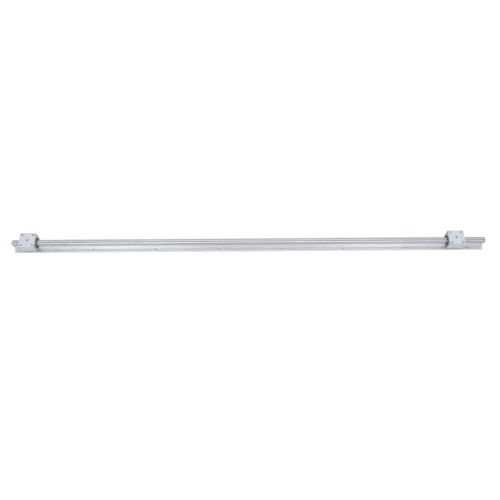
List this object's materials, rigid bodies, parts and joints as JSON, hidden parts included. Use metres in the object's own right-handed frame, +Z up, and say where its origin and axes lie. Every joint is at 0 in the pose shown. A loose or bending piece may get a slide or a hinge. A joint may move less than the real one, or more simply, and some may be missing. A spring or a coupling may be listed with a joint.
{
  "type": "supported round rail",
  "caption": "Round steel shaft screwed along an extruded aluminium support, with open ball-bushing blocks that slide along it.",
  "frame": {"origin": "centre of the base's footprint, on the underside of the support rail", "axes": "+X along the rail towards the right block, +Y across the rail, +Z up from the base to the shaft"},
  "size_m": [1.5, 0.048, 0.05],
  "materials": {
    "extruded_aluminium": "extruded, satin, natural",
    "ground_steel": "hardened, ground and polished",
    "anodised_aluminium": "fine blasted and clear anodised",
    "bearing_steel": "ground",
    "retainer_plastic": "moulded, natural",
    "seal_rubber": "moulded, matt black",
    "black_spring_steel": "black phosphated",
    "black_steel": "black oxide"
  },
  "bodies": {
    "rail": {"support_rail": "extruded_aluminium", "shaft": "ground_steel", "shaft_screw_1": "black_steel", "shaft_screw_2": "black_steel", "shaft_screw_3": "black_steel", "shaft_screw_4": "black_steel", "shaft_screw_5": "black_steel", "shaft_screw_6": "black_steel", "shaft_screw_7": "black_steel", "shaft_screw_8": "black_steel"},
    "left_block": {"left_housing": "anodised_aluminium", "left_bearing_sleeve": "bearing_steel", "left_ball_retainer": "retainer_plastic", "left_bearing_balls": "bearing_steel", "left_seal_1": "seal_rubber", "left_seal_2": "seal_rubber", "left_retaining_ring_1": "black_spring_steel", "left_retaining_ring_2": "black_spring_steel", "left_locating_screw": "black_steel", "left_adjusting_screw": "black_steel"},
    "right_block": {"right_housing": "anodised_aluminium", "right_bearing_sleeve": "bearing_steel", "right_ball_retainer": "retainer_plastic", "right_bearing_balls": "bearing_steel", "right_seal_1": "seal_rubber", "right_seal_2": "seal_rubber", "right_retaining_ring_1": "black_spring_steel", "right_retaining_ring_2": "black_spring_steel", "right_locating_screw": "black_steel", "right_adjusting_screw": "black_steel"}
  },
  "joints": [
    {"name": "left_block_slide", "type": "slide", "parent": "rail", "child": "left_block", "axis": [1, 0, 0], "range_m": [-0.028, 0.67]},
    {"name": "right_block_slide", "type": "slide", "parent": "rail", "child": "right_block", "axis": [1, 0, 0], "range_m": [-0.626, 0.072]}
  ]
}
